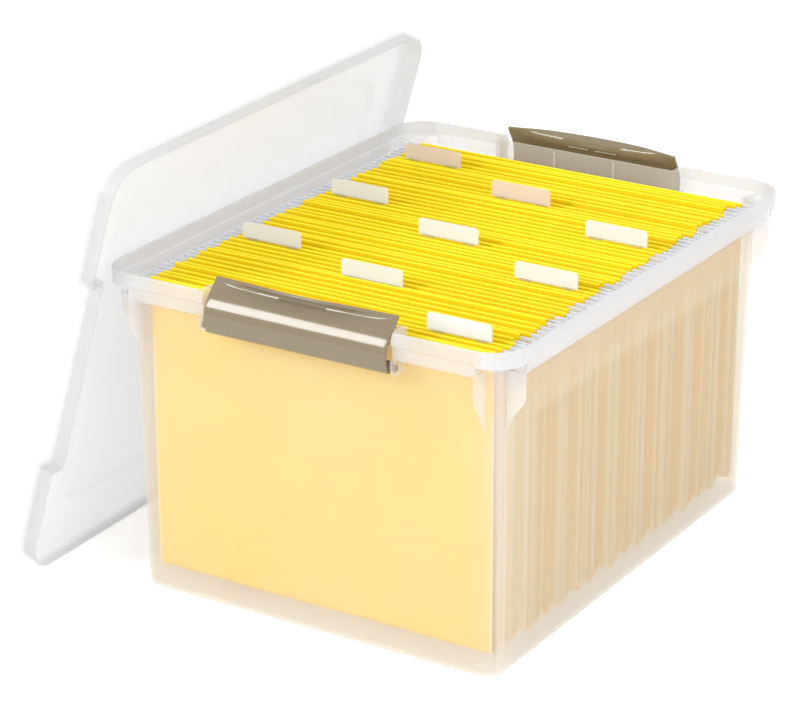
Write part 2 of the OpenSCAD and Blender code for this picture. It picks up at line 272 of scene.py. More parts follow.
# Studio: each lamp's name, place, width, height, power and whether reflections show it
LAMP_AIM = (0, 0, 0.2)
LAMPS = (
    ("key", (-1.35, -2.05, 1.56), 0.75, 0.8, 27, True),
    ("front", (1.5, -2.7, 0.6), 1.6, 1.2, 16, False),
    ("fill", (2.6, -0.9, 1.6), 1.8, 1.8, 28, True),
    ("top", (0.2, 0.6, 2.9), 2.0, 2.0, 20, True),
)
WORLD_LIGHT = 0.70
SEEN_WHITE = (1.0, 1.0, 1.0)
REFLECTED_WHITE = (0.8, 0.8, 0.8)
FLOOR_SIZE = 30
FLOOR_GLOW = (0.3, 0.3, 0.3, 1)


# Meshes


def loft(rings):
    """A solid through rings of equally many points, with a face at each end."""
    n = len(rings[0])
    verts = [p for ring in rings for p in ring]
    faces = [
        (i * n + j, i * n + (j + 1) % n, (i + 1) * n + (j + 1) % n, (i + 1) * n + j)
        for i in range(len(rings) - 1)
        for j in range(n)
    ]
    faces.append(tuple(range(n)))
    faces.append(tuple((len(rings) - 1) * n + j for j in reversed(range(n))))
    return verts, faces


def prism(outline, place, a, b):
    """A solid between depths a and b, where place(point, depth) puts an outline's point in
    space."""
    return loft([[place(p, d) for p in outline] for d in (a, b)])


def joined(*parts):
    """Several (verts, faces) as one."""
    verts, faces = [], []
    for v, f in parts:
        base = len(verts)
        verts.extend(v)
        faces.extend(tuple(base + i for i in face) for face in f)
    return verts, faces


def turned(part):
    """The part turned half round about Z, for the rear end."""
    return [(-x, -y, z) for x, y, z in part[0]], part[1]


def piece(name, part, material, body, slot, replaced=(), bevel=0.0, sharp=SHARP_ANGLE):
    """A mesh object from (verts, faces) in millimetres, riding on its body. Shading is smooth up to
    the angle sharp, in degrees, and bevel is the width of the rounding on edges."""
    mesh = bpy.data.meshes.new(name)
    mesh.from_pydata([Vector(v) * MM for v in part[0]], [], part[1])
    bm = bmesh.new()
    bm.from_mesh(mesh)
    bmesh.ops.remove_doubles(bm, verts=bm.verts, dist=WELD * MM)
    bmesh.ops.dissolve_degenerate(bm, dist=WELD * MM, edges=bm.edges)
    bmesh.ops.recalc_face_normals(bm, faces=bm.faces)
    for f in bm.faces:
        f.smooth = True
    bm.to_mesh(mesh)
    bm.free()
    mesh.set_sharp_from_angle(angle=math.radians(sharp))
    mesh.materials.append(material)
    obj = bpy.data.objects.new(name, mesh)
    bpy.context.scene.collection.objects.link(obj)
    if bevel:
        edge = obj.modifiers.new("edges", "BEVEL")
        edge.width = bevel * MM
        edge.segments = BEVEL_STEPS
        edge.limit_method = "ANGLE"
        edge.angle_limit = BEVEL_ANGLE
    even = obj.modifiers.new("shading", "WEIGHTED_NORMAL")
    even.keep_sharp = True
    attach(obj, body)
    if replaced:
        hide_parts(*replaced)


def arc(cy, cz, r, start, end, n):
    """Points on a circle, from one angle in degrees to another."""
    angles = [math.radians(start + (end - start) * i / n) for i in range(n + 1)]
    return [(cy + r * math.cos(a), cz + r * math.sin(a)) for a in angles]


# Materials


def shader(name):
    """A material with one Principled shader, its node tree and the shader."""
    mat = bpy.data.materials.new(name)
    mat.use_nodes = True
    return mat, mat.node_tree, mat.node_tree.nodes["Principled BSDF"]


def grain(tree, scale, detail, stretch=(1, 1, 1)):
    """Noise in the object's own coordinates, scaled per metre."""
    place = tree.nodes.new("ShaderNodeTexCoord")
    mapping = tree.nodes.new("ShaderNodeMapping")
    mapping.inputs["Scale"].default_value = stretch
    texture = tree.nodes.new("ShaderNodeTexNoise")
    texture.inputs["Scale"].default_value = scale
    texture.inputs["Detail"].default_value = detail
    tree.links.new(place.outputs["Object"], mapping.inputs["Vector"])
    tree.links.new(mapping.outputs["Vector"], texture.inputs["Vector"])
    return texture.outputs["Fac"]


def ramp(tree, source, start, end, low=0.0, high=1.0, kind="SMOOTHSTEP"):
    """A step from low at start to high at end."""
    span = tree.nodes.new("ShaderNodeMapRange")
    span.interpolation_type = kind
    limits = {"From Min": start, "From Max": end, "To Min": low, "To Max": high}
    for name, value in limits.items():
        span.inputs[name].default_value = value
    tree.links.new(source, span.inputs["Value"])
    return span.outputs["Result"]


def spread(tree, source, low=0.0, high=1.0):
    """A noise value mapped to a range."""
    return ramp(tree, source, *NOISE_SPAN, low, high, "LINEAR")


def mixed(tree, source, first, second):
    """A colour between two, each a socket or a tone, by a socket."""
    mix = tree.nodes.new("ShaderNodeMix")
    mix.data_type = "RGBA"
    tree.links.new(source, mix.inputs["Factor"])
    for socket, value in ((mix.inputs["A"], first), (mix.inputs["B"], second)):
        if isinstance(value, tuple):
            socket.default_value = (*value, 1)
        else:
            tree.links.new(value, socket)
    return mix.outputs["Result"]


def combine(tree, operation, first, second=None):
    """A Math node on one or two sockets or numbers."""
    node = tree.nodes.new("ShaderNodeMath")
    node.operation = operation
    for socket, value in zip(node.inputs, (first, second)):
        if isinstance(value, (int, float)):
            socket.default_value = value
        elif value is not None:
            tree.links.new(value, socket)
    return node.outputs["Value"]


def plus(tree, first, second):
    return combine(tree, "ADD", first, second)


def times(tree, first, second):
    return combine(tree, "MULTIPLY", first, second)


def most(tree, first, second):
    return combine(tree, "MAXIMUM", first, second)


def size(tree, source):
    return combine(tree, "ABSOLUTE", source)


def places(tree):
    """The object's own x, y and z in metres, as sockets."""
    place = tree.nodes.new("ShaderNodeTexCoord")
    split = tree.nodes.new("ShaderNodeSeparateXYZ")
    tree.links.new(place.outputs["Object"], split.inputs["Vector"])
    return split.outputs["X"], split.outputs["Y"], split.outputs["Z"]


def bumped(tree, bsdf, source, height):
    """Relief on the surface, its height in metres."""
    bump = tree.nodes.new("ShaderNodeBump")
    bump.inputs["Distance"].default_value = height
    tree.links.new(source, bump.inputs["Height"])
    tree.links.new(bump.outputs["Normal"], bsdf.inputs["Normal"])


def glowing(tree, bsdf, colour, share):
    """A share of the light passes through the surface and is scattered forwards."""
    through = tree.nodes.new("ShaderNodeBsdfTranslucent")
    tree.links.new(colour, through.inputs["Color"])
    mix = tree.nodes.new("ShaderNodeMixShader")
    mix.inputs["Fac"].default_value = share
    tree.links.new(bsdf.outputs["BSDF"], mix.inputs[1])
    tree.links.new(through.outputs["BSDF"], mix.inputs[2])
    tree.links.new(mix.outputs["Shader"], tree.nodes["Material Output"].inputs["Surface"])


def outer_share(tree, across, along):
    """1 on the rim's outer skin and 0 on its inner faces, round the corners too."""
    squares = []
    for place, half in ((across, RIM_X), (along, RIM_Y)):
        out = most(tree, plus(tree, place, (RIM_R - half) * MM), 0.0)
        squares.append(times(tree, out, out))
    reach = combine(tree, "SQRT", plus(tree, *squares))
    return ramp(tree, reach, *((RIM_R - depth) * MM for depth in SKIN_DEPTH))


def side_share(tree, x, y, z):
    """1 on the long side walls below the rim, fading to 0 round them: where the painted warm light
    lies.
    """
    across = ramp(tree, size(tree, x), *TINTED_SIDE_X)
    along = ramp(tree, size(tree, y), *TINTED_SIDE_Y)
    upright = times(tree, ramp(tree, z, *TINTED_OVER_Z), ramp(tree, z, *TINTED_UNDER_Z))
    return times(tree, times(tree, across, along), upright)


def tub_tint(tree, colour):
    """The colour of the tub: painted warm light from the yellow folders behind, at the foot and on
    the long side walls, and painted shade that greys the rim's outer skin."""
    x, y, z = places(tree)
    # Painted warm light from the folders behind, at the foot and on the long side walls
    colour = mixed(tree, ramp(tree, z, *FOOT_TINTED_Z, 0, TINT_MOST), colour, FOOT_GLOW_TINT)
    colour = mixed(tree, side_share(tree, x, y, z), colour, SIDE_GLOW_TINT)
    # Painted shade greys the rim's outer skin
    skin = outer_share(tree, size(tree, x), size(tree, y))
    grey = times(tree, skin, ramp(tree, z, *RIM_Z, 0, TINT_MOST))
    return mixed(tree, grey, colour, RIM_SHADE_TINT)


def tub_opacity(tree, x, y, z):
    """Clear walls, clearest in a rounded panel on each long side, and denser at the rim, the
    corners and the foot."""
    across, along = size(tree, x), size(tree, y)
    side_wall = ramp(tree, across, *SIDE_WALL_X)
    round_panel = most(tree, ramp(tree, z, *WALL_PANEL_Z), ramp(tree, y, *WALL_PANEL_Y))
    skin = ramp(tree, outer_share(tree, across, along), 0, 1, INNER_RIM_SHARE, 1)
    total = CLEAR_ALPHA
    for share, adds in (
        (side_wall, SIDE_WALL_ADDS),
        (times(tree, side_wall, round_panel), BAND_ADDS),
        (times(tree, ramp(tree, across, *CORNER_X), ramp(tree, along, *CORNER_Y)), CORNER_ADDS),
        (ramp(tree, z, *FOOT_DENSE_Z), FOOT_ADDS),
        (times(tree, ramp(tree, z, *RIM_Z), skin), RIM_ADDS),
    ):
        total = plus(tree, total, times(tree, share, adds))
    return combine(tree, "MINIMUM", total, MOST_ALPHA)


def lid_opacity(tree, x, y, z):
    """Even, a little denser towards the lid's long edges."""
    along = size(tree, plus(tree, y, -LID_PLACE_Y * MM))
    return ramp(tree, along, *LID_EDGE_Y, *LID_ALPHA)


def frosted(name, tones, opacity, roughness, glow, tint=None):
    """Moulded plastic that lets light and the colours behind it through. opacity is a function that
    gives the surface's alpha from its place, glow the share of light scattered forwards, and tint a
    function that changes the colour from place to place."""
    mat, tree, bsdf = shader(name)
    cloud, frost = grain(tree, *PLASTIC_CLOUD), grain(tree, *PLASTIC_FROST)
    colour = mixed(tree, spread(tree, cloud), *tones)
    if tint:
        colour = tint(tree, colour)
    alpha = plus(tree, opacity(tree, *places(tree)), spread(tree, cloud, *CLOUD_ALPHA))
    tree.links.new(colour, bsdf.inputs["Base Color"])
    tree.links.new(alpha, bsdf.inputs["Alpha"])
    tree.links.new(spread(tree, frost, *roughness), bsdf.inputs["Roughness"])
    bumped(tree, bsdf, frost, PLASTIC_RELIEF)
    bsdf.inputs["IOR"].default_value = PLASTIC_IOR
    glowing(tree, bsdf, colour, glow)
    return mat


def latch_plastic():
    """Opaque, polished plastic, faintly clouded."""
    mat, tree, bsdf = shader("latch_plastic")
    fine = grain(tree, *LATCH_GRAIN)
    colour = mixed(tree, spread(tree, grain(tree, *LATCH_CLOUD)), *LATCH_TONES)
    tree.links.new(colour, bsdf.inputs["Base Color"])
    tree.links.new(spread(tree, fine, *LATCH_ROUGHNESS), bsdf.inputs["Roughness"])
    bumped(tree, bsdf, fine, LATCH_RELIEF)
    bsdf.inputs["IOR"].default_value = LATCH_IOR
    return mat


def folder_paper():
    """Card with a painted highlight along its top folds, painted orange shade in the gaps below
    them and a painted highlight on its cut ends, with long streaks and broad darker orange patches
    on the fold highlight."""
    mat, tree, bsdf = shader("folder_paper")
    x, y, z = places(tree)
    fibre, streak = grain(tree, *PAPER_FIBRE), grain(tree, *PAPER_STREAK)
    colour = mixed(tree, spread(tree, grain(tree, *PAPER_CLOUD)), *SHEET_TONES)
    # Painted highlight on the sheets' cut ends, low down
    end = times(tree, ramp(tree, size(tree, x), *CUT_END_HIGHLIGHT_X), ramp(tree, z, *CUT_END_HIGHLIGHT_Z))
    colour = mixed(tree, end, colour, CUT_END_HIGHLIGHT)
    # Painted orange shade in the gaps below the top folds
    colour = mixed(tree, ramp(tree, z, *GAP_SHADE_Z), colour, GAP_SHADE_ORANGE)
    # Broad darker orange patches over the painted fold highlight
    patches = spread(tree, grain(tree, *PAPER_PATCHES), 0, FOLD_PATCH_MOST)
    fold = mixed(tree, patches, mixed(tree, spread(tree, streak), *FOLD_HIGHLIGHT_TONES), FOLD_PATCH_ORANGE)
    # Painted highlight along the top folds, its lower edge moved by streaks
    level = plus(tree, z, spread(tree, streak, *FOLD_HIGHLIGHT_Z_SWAY))
    colour = mixed(tree, ramp(tree, level, *FOLD_HIGHLIGHT_Z), colour, fold)
    tree.links.new(colour, bsdf.inputs["Base Color"])
    tree.links.new(spread(tree, fibre, *PAPER_ROUGHNESS), bsdf.inputs["Roughness"])
    bumped(tree, bsdf, fibre, PAPER_RELIEF)
    return mat


def rod_coating():
    """Grey-blue coated metal with small specks."""
    mat, tree, bsdf = shader("rod_metal")
    speck = spread(tree, grain(tree, *ROD_SPECK))
    tree.links.new(mixed(tree, speck, *ROD_TONES), bsdf.inputs["Base Color"])
    tree.links.new(spread(tree, speck, *ROD_ROUGHNESS), bsdf.inputs["Roughness"])
    return mat


def tab_plastic():
    """Nearly clear, glossy plastic."""
    mat, tree, bsdf = shader("tab_plastic")
    fine = grain(tree, *TAB_GRAIN)
    tree.links.new(mixed(tree, fine, *TAB_TONES), bsdf.inputs["Base Color"])
    tree.links.new(spread(tree, fine, *TAB_ALPHA), bsdf.inputs["Alpha"])
    tree.links.new(spread(tree, fine, *TAB_ROUGHNESS), bsdf.inputs["Roughness"])
    return mat


def label_paper(name, tones):
    """Bare card with fine fibres."""
    mat, tree, bsdf = shader(name)
    fibre = grain(tree, *LABEL_FIBRE)
    tree.links.new(mixed(tree, spread(tree, fibre), *tones), bsdf.inputs["Base Color"])
    tree.links.new(spread(tree, fibre, *LABEL_ROUGHNESS), bsdf.inputs["Roughness"])
    bumped(tree, bsdf, fibre, LABEL_RELIEF)
    return mat


TUB_PLASTIC = frosted("tub_plastic", TUB_TONES, tub_opacity, TUB_ROUGHNESS, TUB_GLOW, tub_tint)
LID_PLASTIC = frosted("lid_plastic", LID_TONES, lid_opacity, LID_ROUGHNESS, LID_GLOW)
LATCH_PLASTIC = latch_plastic()
FOLDER_PAPER = folder_paper()
ROD_COATING = rod_coating()
TAB_PLASTIC = tab_plastic()
LABEL_WHITE = label_paper("label_white", WHITE_LABEL_TONES)
LABEL_WARM = label_paper("label_warm", WARM_LABEL_TONES)


# Tub


def rim(inset, z):
    """A level of the rim: half width, half length, corner radius and height."""
    return RIM_X - inset, RIM_Y - inset, RIM_R - inset, z


def wall(inset, z):
    """A level of the leaning walls."""
    lean = WALL_LEAN * min(1.0, max(0.0, (z - FOOT_BEVEL) / (SHELF_Z - FOOT_BEVEL)))
    return BASE_X + lean - inset, BASE_Y + lean - inset, WALL_R - inset, z


def corner_at(sx, sy, angle):
    """A station on a corner's arc."""
    c, s = math.cos(math.radians(angle)), math.sin(math.radians(angle))

    def place(level):
        x, y, r = level[:3]
        return sx * (x - r) + r * c, sy * (y - r) + r * s

    return place


def side_at(sx, share):
    """A station on a long side, at a share of its straight run."""
    return lambda level: (sx * level[0], share * (level[1] - level[2]))


def end_at(sy, x, share, sx):
    """A station on a short side, at x or at a share of the way from x to the corner."""
    return lambda level: (sx * (x + share * (level[0] - level[2] - x)), sy * level[1])


def loop_of_stations(fixed, solid):
    """Stations all round a box with an opening in each short side, each with its kind of profile.
    fixed is the opening's half width, and solid the outer half width of the posts beside it."""
    steps = 10
    found = []

    def side(sx, shares):
        found.extend(("side", side_at(sx, share)) for share in shares)

    def corner(sx, sy, start):
        angles = [start + 90 * i / steps for i in range(steps + 1)]
        found.extend(("corner", corner_at(sx, sy, angle)) for angle in angles)

    def end(sy, first):
        found.extend(("side", end_at(sy, solid, share, first)) for share in (1, 0.5, 0))
        found.extend(("post", end_at(sy, x, 0, first)) for x in (solid, fixed))
        found.extend(("gap", end_at(sy, x * fixed, 0, first)) for x in (1, 0.5, 0, -0.5, -1))
        found.extend(("post", end_at(sy, x, 0, -first)) for x in (fixed, solid))
        found.extend(("side", end_at(sy, solid, share, -first)) for share in (0, 0.5, 1))

    side(1, (-1, -0.5, 0, 0.5, 1))
    corner(1, 1, 0)
    end(1, 1)
    corner(-1, 1, 90)
    side(-1, (1, 0.5, 0, -0.5, -1))
    corner(-1, -1, 180)
    end(-1, -1)
    corner(1, -1, 270)
    return found


def shell(profiles, fixed, solid):
    """A closed shell whose profile, a list of levels, changes with the kind of station."""
    stations = loop_of_stations(fixed, solid)
    rings = []
    for j in range(len(profiles["side"])):
        levels = [(place, profiles[kind][j]) for kind, place in stations]
        rings.append([(*place(level), level[3]) for place, level in levels])
    return loft(rings)


def tub_profiles():
    """Levels from the foot up the outside, over the rim and down the inside, for each kind of
    station."""
    t, s, w, top = BAND_T, BAND_STEP, TUB_WALL, TUB_H
    heights = (60, 130, 200)
    outside = [wall(3.0, 0), wall(1.5, 0.4), wall(0.4, 1.5), wall(0, 3.2)]
    outside += [wall(0, z) for z in heights]
    inside = [wall(w, z) for z in reversed(heights)]
    inside += [wall(w, 5), wall(w + 0.5, 3.4), wall(w + 2, FLOOR_T)]
    under = [wall(0, SHELF_LOW - 1.8), wall(-0.5, SHELF_LOW - 0.5), wall(-1.8, SHELF_LOW)]
    low_edge = [rim(s + 0.8, SHELF_LOW), rim(s, SHELF_LOW + 0.8)]
    step = [rim(s, BAND_LOW - 0.7), rim(s - 0.3, BAND_LOW - 0.1), rim(0.6, BAND_LOW),
            rim(0, BAND_LOW + 0.7)]
    crown = [rim(0, top - 1.2), rim(0.35, top - 0.35), rim(1.1, top)]
    lip = [rim(t - 1.0, top), rim(t - 0.3, top - 0.3), rim(t, top - 1.1)]
    inner_step = [rim(t, BAND_LOW + 1), rim(t + 0.4, BAND_LOW + 0.2),
                  rim(t + s - 0.3, BAND_LOW - 0.4), rim(t + s, BAND_LOW - 1.2)]
    shelf = [rim(t + s, SHELF_Z + 1), rim(t + s + 1, SHELF_Z)]
    edge = [wall(w - 1, SHELF_Z), wall(w - 0.25, SHELF_Z - 0.25), wall(w, SHELF_Z - 1.2)]
    low = BAND_LOW - 2.5
    corner = [wall(0, low - 1.8), wall(-0.5, low - 0.5), wall(-1.8, low), rim(1, low)]
    corner += [rim(0.2, low + 0.3)] + [rim(0, low + z) for z in (1.0, 1.5, 2.0, 3.0)] + crown + lip
    corner += [rim(t, BAND_LOW + 1), rim(t + 0.3, BAND_LOW + 0.3)]
    corner += [rim(t + d, BAND_LOW) for d in (1, 2, 3, 4)]
    corner += [wall(w - 1, BAND_LOW), wall(w - 0.25, BAND_LOW - 0.25), wall(w, BAND_LOW - 1.2)]
    wall_top = [wall(w - 0.9, top), wall(w - 0.25, top - 0.25), wall(w, top - 1)]
    post = under + low_edge + step + [rim(0, top - 5), rim(0.9, top - 1.8), rim(3.2, top)]
    post += [rim(d, top) for d in (6, 8.5, 11)]
    post += [wall(d, top) for d in (-3.5, -2.5, -1.4, -0.2, 0.5, 0.9)] + wall_top
    start, end, count = SHELF_LOW - 1.8, top - 0.7, 18
    gap = [wall(0, start + (end - start) * i / count) for i in range(count + 1)]
    gap += [wall(0.25, top - 0.2), wall(0.9, top)] + wall_top
    full = under + low_edge + step + crown + lip + inner_step + shelf + edge
    kinds = {"side": full, "corner": corner, "post": post, "gap": gap}
    return {kind: outside + levels + inside for kind, levels in kinds.items()}


def fin_outline(reach):
    """A gusset fin below the rim: down from the band, then in to the wall in a soft double
    curve."""
    points, straight, sunk, top = 12, 0.40, 0.8, 0.2
    curve = []
    for i in range(points + 1):
        u = i / points
        out = reach * (0.5 - 0.5 * math.cos(math.pi * u))
        curve.append((out, FIN_H * ((1 - straight) * u - 1)))
    return [(-sunk, -FIN_H)] + curve + [(reach, top), (-sunk, top)]


def tub_fins():
    parts = []
    run_x, run_y = RIM_X - RIM_R, RIM_Y - RIM_R
    side_reach = RIM_X - BAND_STEP - WALL_X
    end_reach = RIM_Y - BAND_STEP - WALL_Y
    for sx in (-1, 1):
        for sy in (-1, 1):
            def on_side(p, d, sx=sx, sy=sy):
                return sx * (WALL_X + p[0]), sy * (run_y - d), SHELF_LOW + p[1]

            def on_end(p, d, sx=sx, sy=sy):
                return sx * (run_x - d), sy * (WALL_Y + p[0]), SHELF_LOW + p[1]

            parts.append(prism(fin_outline(side_reach), on_side, 0, FIN_T))
            parts.append(prism(fin_outline(end_reach), on_end, 0, FIN_T))
    return joined(*parts)


def tub_rails():
    """The hook rails along the long sides, each an L whose foot runs into the wall."""
    run = BASE_Y - TUB_WALL
    back, low, foot = WALL_X - TUB_WALL + 0.3, SHELF_LOW, SHELF_Z - 0.2
    outline = [(RAIL_IN, low), (back, low), (back, foot), (RAIL_IN + RAIL_T, foot),
               (RAIL_IN + RAIL_T, RAIL_TOP), (RAIL_IN, RAIL_TOP)]
    bar = prism(outline, lambda p, d: (p[0], d, p[1]), -run, run)
    return joined(bar, turned(bar))


def across_ends(outline, spans):
    """Plates at both short ends, from one outline in Y and Z and each plate's span along X."""
    parts = [prism(outline, lambda p, d: (d, p[0], p[1]), *span) for span in spans]
    plates = joined(*parts)
    return joined(plates, turned(plates))


def tub_lugs():
    """The hinge cheeks at each end of the latches."""
    back, top = -WALL_Y + 0.2, SHELF_LOW + 0.3
    outline = [(back, HINGE_Z - LUG_R)] + arc(HINGE_Y, HINGE_Z, LUG_R, 270, 180, 8)
    outline += [(HINGE_Y - LUG_R, top), (back, top)]
    return across_ends(outline, [sorted((s * NOTCH_X, s * CHEEK_X)) for s in (-1, 1)])


def notch_ribs():
    """Two upright ribs on the inside of the wall in each notch."""
    rib_x, half, out, sunk = 28, 0.8, 1.5, 0.4
    inner = -WALL_Y + TUB_WALL
    outline = [(inner - sunk, SHELF_LOW), (inner + out, SHELF_LOW), (inner + out, TUB_H - 3),
               (inner - sunk, TUB_H - 1.4)]
    return across_ends(outline, [(s * rib_x - half, s * rib_x + half) for s in (-1, 1)])


def make_tub():
    shapes = (
        ("tub_fins", tub_fins(), 0.6),
        ("tub_rails", tub_rails(), 0.4),
        ("tub_lugs", tub_lugs(), 0.5),
        ("tub_notch_ribs", notch_ribs(), 0.3),
    )
    shape = shell(tub_profiles(), NOTCH_X, CHEEK_X)
    piece("tub_shell", shape, TUB_PLASTIC, "tub", "tub_plastic", ["tub"])
    for name, shape, bevel in shapes:
        piece(name, shape, TUB_PLASTIC, "tub", "tub_plastic", bevel=bevel)


# Latches


def scoop_share(x):
    """How deep the finger scoop in the latch's tip is at x, as a share of its depth in the
    middle."""
    half = LATCH_W / 2 - TIP_LAND
    return max(0.0, 1 - (x / half) ** 2)


def latch_point(t, x):
    """The outer curve of the latch at x, from its foot to its tip. Towards its tip the plate bends
    outwards, most of all in the middle, where a finger lifts it."""
    foot = Vector((HINGE_Y - KNUCKLE_R + 0.1, HINGE_Z))
    bulge = Vector((HINGE_Y - LATCH_OUT, HINGE_Z + BULGE_UP))
    crown = Vector((HINGE_Y + CROWN_IN, HINGE_Z + LATCH_RISE - CROWN_DROP))
    tip = Vector((HINGE_Y + LATCH_IN, HINGE_Z + LATCH_RISE))
    u = max(0.0, (t - BEND_FROM) / (1 - BEND_FROM))
    bend = u * u * (2 - u) * Vector(BEND_END).lerp(Vector(BEND_MIDDLE), scoop_share(x))
    s = 1 - t
    return s ** 3 * foot + 3 * t * s * s * bulge + 3 * t * t * s * crown + t ** 3 * tip + bend


def latch_curve(t, x):
    """A point of the outer curve, and the direction inwards there."""
    step = 0.005
    along = (latch_point(t + step, x) - latch_point(t - step, x)).normalized()
    return latch_point(t, x), Vector((along.y, -along.x))


def latch_ring(x, inset):
    """One closed section of the latch: the plate with its rounded tip, and the curl round its
    hinge."""
    n, t, curl_end, last = 22, LATCH_T, 400, 0.985
    stations = [latch_curve(last * i / n, x) for i in range(n + 1)]
    outer = [tuple(at + inset * inward) for at, inward in stations]
    inner = [tuple(at + (t - inset) * inward) for at, inward in reversed(stations)]
    at, inward = stations[-1]
    middle, start = at + t / 2 * inward, math.degrees(math.atan2(-inward.y, -inward.x))
    tip = arc(middle.x, middle.y, t / 2 - inset, start, start - 180, 6)
    hook_out = arc(HINGE_Y, HINGE_Z, KNUCKLE_R - 0.1 - inset, curl_end, 184, 18)
    hook_in = arc(HINGE_Y, HINGE_Z, KNUCKLE_R - t + 0.1 + inset, 184, curl_end, 18)
    return [(x, y, z) for y, z in hook_out + outer + tip[1:-1] + inner[:-1] + hook_in]


def latch_plate():
    """The latch's curved plate, its ends softened."""
    half, n, soft = LATCH_W / 2, 44, 0.6
    xs = [-half + LATCH_W * i / n for i in range(1, n)]
    rings = [latch_ring(-half, soft), latch_ring(-half + 0.2, 0.25), latch_ring(-half + soft, 0)]
    rings += [latch_ring(x, 0) for x in xs]
    rings += [latch_ring(half - soft, 0), latch_ring(half - 0.2, 0.25), latch_ring(half, soft)]
    return loft(rings)


def round_bar(y, z, r, x0, x1, sides=24):
    """A bar along X with softened ends."""
    soft = 0.3
    rings = []
    for x, radius in ((x0, r - soft), (x0 + soft, r), (x1 - soft, r), (x1, r - soft)):
        rings.append([(x, *p) for p in arc(y, z, radius, 0, 360 - 360 / sides, sides - 1)])
    return loft(rings)


def latch_fittings():
    """Hinge pins at the ends and two catch ridges inside the tip."""
    pin_in, pin_out = LATCH_W / 2 - 12, CHEEK_X - SEAT_GAP
    ridge_at, ridge_r, ridge_x, ridge_half = 0.75, 1.1, 13, 10
    at, inward = latch_curve(ridge_at, 0)
    ridge = at + LATCH_T * inward
    parts = []
    for s in (-1, 1):
        pin = sorted((s * pin_in, s * pin_out))
        parts.append(round_bar(HINGE_Y, HINGE_Z, PIN_R, *pin))
        span = (s * ridge_x - ridge_half, s * ridge_x + ridge_half)
        parts.append(round_bar(ridge.x, ridge.y, ridge_r, *span, 16))
    return joined(*parts)


def swung(part, angle):
    """The part opened about the front latch's hinge line."""
    turn = Matrix.Rotation(angle, 3, "X")
    hinge = Vector((0, HINGE_Y, HINGE_Z))
    return [tuple(hinge + turn @ (Vector(v) - hinge)) for v in part[0]], part[1]


def make_latches():
    plate, fittings = latch_plate(), latch_fittings()
    ends = {"front": lambda part: part, "rear": lambda part: turned(swung(part, REAR_SWING))}
    for end, turn in ends.items():
        body, node = f"{end}_latch", f"latch_{end}"
        piece(f"{node}_plate", turn(plate), LATCH_PLASTIC, body, "latch_plastic", [node],
              sharp=LATCH_SHARP_ANGLE)
        piece(f"{node}_fittings", turn(fittings), LATCH_PLASTIC, body, "latch_plastic")


# Lid


def lid_profiles():
    """Levels from the panel's underside out to the skirt, round its edge and back over the top,
    for each kind of station."""
    w, top, rise = LID_WALL, LID_D, PANEL_RISE
    low = top - w

    def panel(inset, z):
        return PANEL_X - inset, PANEL_Y - inset, PANEL_R - inset, z

    def skirt(inset, z):
        return LID_X - inset, LID_Y - inset, LID_R - inset, z

    def recess(inset, z):
        return LID_X - inset, RECESS_Y - inset, LID_R - inset, z

    soft = ((7, 0), (5.4, 0.2), (4.2, 0.7), (2.8, 1.5), (1.2, 2.5), (0, 3.3), (-1.2, 3.8),
            (-2.8, 4))
    scale = rise / soft[-1][1]
    under = [panel(w + d, low + rise - h * scale) for d, h in soft]
    over = [panel(d, top + rise - h * scale) for d, h in reversed(soft)]

    def inner(f):
        return [f(w + 1.6, low), f(w + 0.4, low - 0.4), f(w, low - 1.6), f(w, 6), f(w, 0.9),
                f(w - 0.3, 0.25), f(w - 0.9, 0)]

    def outer(f):
        return [f(0.8, 0), f(0.2, 0.25), f(0, 0.9), f(0, 6), f(0, top - 2), f(0.6, top - 0.6),
                f(2, top)]

    full = inner(skirt) + outer(skirt)
    kinds = {"side": full, "corner": full, "post": inner(recess) + outer(skirt),
             "gap": inner(recess) + outer(recess)}
    return {kind: under + levels + over for kind, levels in kinds.items()}


def lid_place():
    """The standing lid's transform, in millimetres: its far skirt just meets the tub's left rim."""
    reach = LID_Y - LID_WALL
    over = max(0, LID_PLACE_Y + reach - (RIM_Y - RIM_R))
    corner_in = RIM_R - math.sqrt(RIM_R ** 2 - over ** 2)
    lean = TUB_H * math.tan(LID_TILT) + SEAT_GAP / math.cos(LID_TILT)
    foot = -RIM_X + corner_in + (reach * math.sin(LID_YAW) - lean) / math.cos(LID_YAW)
    turn = Matrix.Rotation(LID_YAW, 4, "Z") @ Matrix.Rotation(LID_TILT - math.pi / 2, 4, "Y")
    return Matrix.Translation((foot, LID_PLACE_Y, 0)) @ turn @ Matrix.Translation((LID_X, 0, 0))


def make_lid():
    place = lid_place()
    verts, faces = shell(lid_profiles(), NOTCH_X, NOTCH_X + LID_WALL)
    verts = [place @ Vector(v) for v in verts]
    piece("lid_shell", (verts, faces), LID_PLASTIC, "lid", "lid_plastic", ["lid"])


# Folders


def folder_y(k):
    """Where folder k's front rod hangs."""
    return FOLDER_Y0 + FOLDER_PITCH * k


def folder_x(k):
    """How far folder k is shifted sideways, a millimetre at most."""
    return math.sin(math.radians(STAGGER_ANGLE * k))


